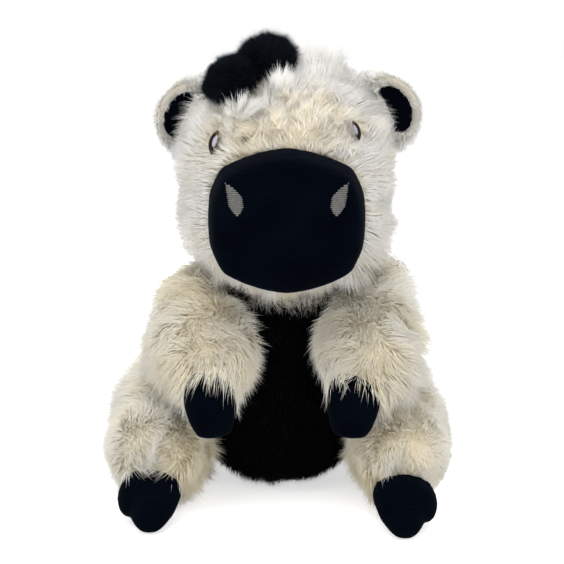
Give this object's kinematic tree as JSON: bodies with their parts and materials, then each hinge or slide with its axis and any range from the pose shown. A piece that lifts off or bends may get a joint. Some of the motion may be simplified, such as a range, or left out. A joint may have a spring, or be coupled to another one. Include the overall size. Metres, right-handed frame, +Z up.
{
  "type": "plush cow",
  "caption": "Sitting long-pile plush cow with dark belly, muzzle and hooves; its head, ears, limbs and tail turn on soft sewn joints.",
  "frame": {"origin": "bottom centre of the sitting toy's box, on the surface that it sits on", "axes": "+Z up; the toy faces -Y; +X is towards the toy's own left side"},
  "size_m": [0.1712, 0.1794, 0.2284],
  "materials": {
    "fur_white": "long-pile plush, matt, slightly clumped and curled",
    "fur_cream": "long-pile plush, matt, a little warmer than the head",
    "fur_black": "black plush with a soft sheen",
    "velour_black": "short blue-black velour with fine ribs and sheen",
    "fibre_fill": "loose polyester fibre",
    "pouch_cloth": "plain woven cotton round plastic pellets",
    "thread_silver": "satin-stitched rayon thread",
    "thread_brown": "satin-stitched rayon thread"
  },
  "bodies": {
    "body": {"belly_panel": "fur_black", "back_patch": "fur_black", "body_back_panel": "fur_white", "pellet_pouch": "pouch_cloth", "body_stuffing": "fibre_fill"},
    "neck": {"neck_cover": "fur_white", "neck_stuffing": "fibre_fill"},
    "head": {"head_cover": "fur_white", "head_stuffing": "fibre_fill", "muzzle_cover": "velour_black", "nostril_right": "thread_silver", "nostril_left": "thread_silver", "eye_right": "thread_brown", "eye_left": "thread_brown", "forelock": "fur_black"},
    "ear_right": {"ear_right": "fur_white", "ear_lining_right": "velour_black"},
    "ear_left": {"ear_left": "fur_white", "ear_lining_left": "velour_black"},
    "arm_right": {"arm_cover_right": "fur_cream", "arm_stuffing_right": "fibre_fill", "front_hoof_right": "velour_black"},
    "arm_left": {"arm_cover_left": "fur_cream", "arm_stuffing_left": "fibre_fill", "front_hoof_left": "velour_black"},
    "leg_right": {"leg_cover_right": "fur_cream", "leg_stuffing_right": "fibre_fill", "hind_hoof_right": "velour_black"},
    "leg_left": {"leg_cover_left": "fur_cream", "leg_stuffing_left": "fibre_fill", "hind_hoof_left": "velour_black"},
    "tail": {"tail": "fur_white", "tail_tuft": "fur_black"}
  },
  "joints": [
    {"name": "neck_turn", "type": "hinge", "parent": "body", "child": "neck", "pos_m": [0.00274, 0.00968, 0.104], "axis": [0, 0, 1], "range_deg": [-15, 15], "stiffness_Nm_per_rad": 0.15},
    {"name": "head_nod", "type": "hinge", "parent": "neck", "child": "head", "pos_m": [0.00274, 0.00968, 0.104], "axis": [-1, 0, 0], "range_deg": [-6, 15], "stiffness_Nm_per_rad": 0.2, "springref_deg": 7.16},
    {"name": "ear_right_flap", "type": "hinge", "parent": "head", "child": "ear_right", "pos_m": [-0.0462, 0.00386, 0.18669], "axis": [0.4226, 0, 0.9063], "range_deg": [-12, 12], "stiffness_Nm_per_rad": 0.005},
    {"name": "ear_left_flap", "type": "hinge", "parent": "head", "child": "ear_left", "pos_m": [0.05168, 0.00386, 0.18969], "axis": [-0.4226, 0, 0.9063], "range_deg": [-12, 12], "stiffness_Nm_per_rad": 0.005},
    {"name": "arm_right_lift", "type": "hinge", "parent": "body", "child": "arm_right", "pos_m": [-0.03566, 0.01127, 0.097], "axis": [-0.9119, 0, -0.4104], "range_deg": [-4, 20], "stiffness_Nm_per_rad": 0.05, "springref_deg": 6.3},
    {"name": "arm_left_lift", "type": "hinge", "parent": "body", "child": "arm_left", "pos_m": [0.03673, 0.01127, 0.097], "axis": [-0.9119, 0, 0.4104], "range_deg": [-4, 20], "stiffness_Nm_per_rad": 0.05, "springref_deg": 6.3},
    {"name": "leg_right_swing", "type": "hinge", "parent": "body", "child": "leg_right", "pos_m": [-0.04434, 0.01568, 0.033], "axis": [0, 0, 1], "range_deg": [-20, 5], "stiffness_Nm_per_rad": 0.08},
    {"name": "leg_left_swing", "type": "hinge", "parent": "body", "child": "leg_left", "pos_m": [0.04541, 0.01568, 0.033], "axis": [0, 0, -1], "range_deg": [-20, 5], "stiffness_Nm_per_rad": 0.08},
    {"name": "tail_wag", "type": "hinge", "parent": "body", "child": "tail", "pos_m": [0.00054, 0.06268, 0.017], "axis": [0, 0, 1], "range_deg": [-20, 20], "stiffness_Nm_per_rad": 0.005}
  ]
}
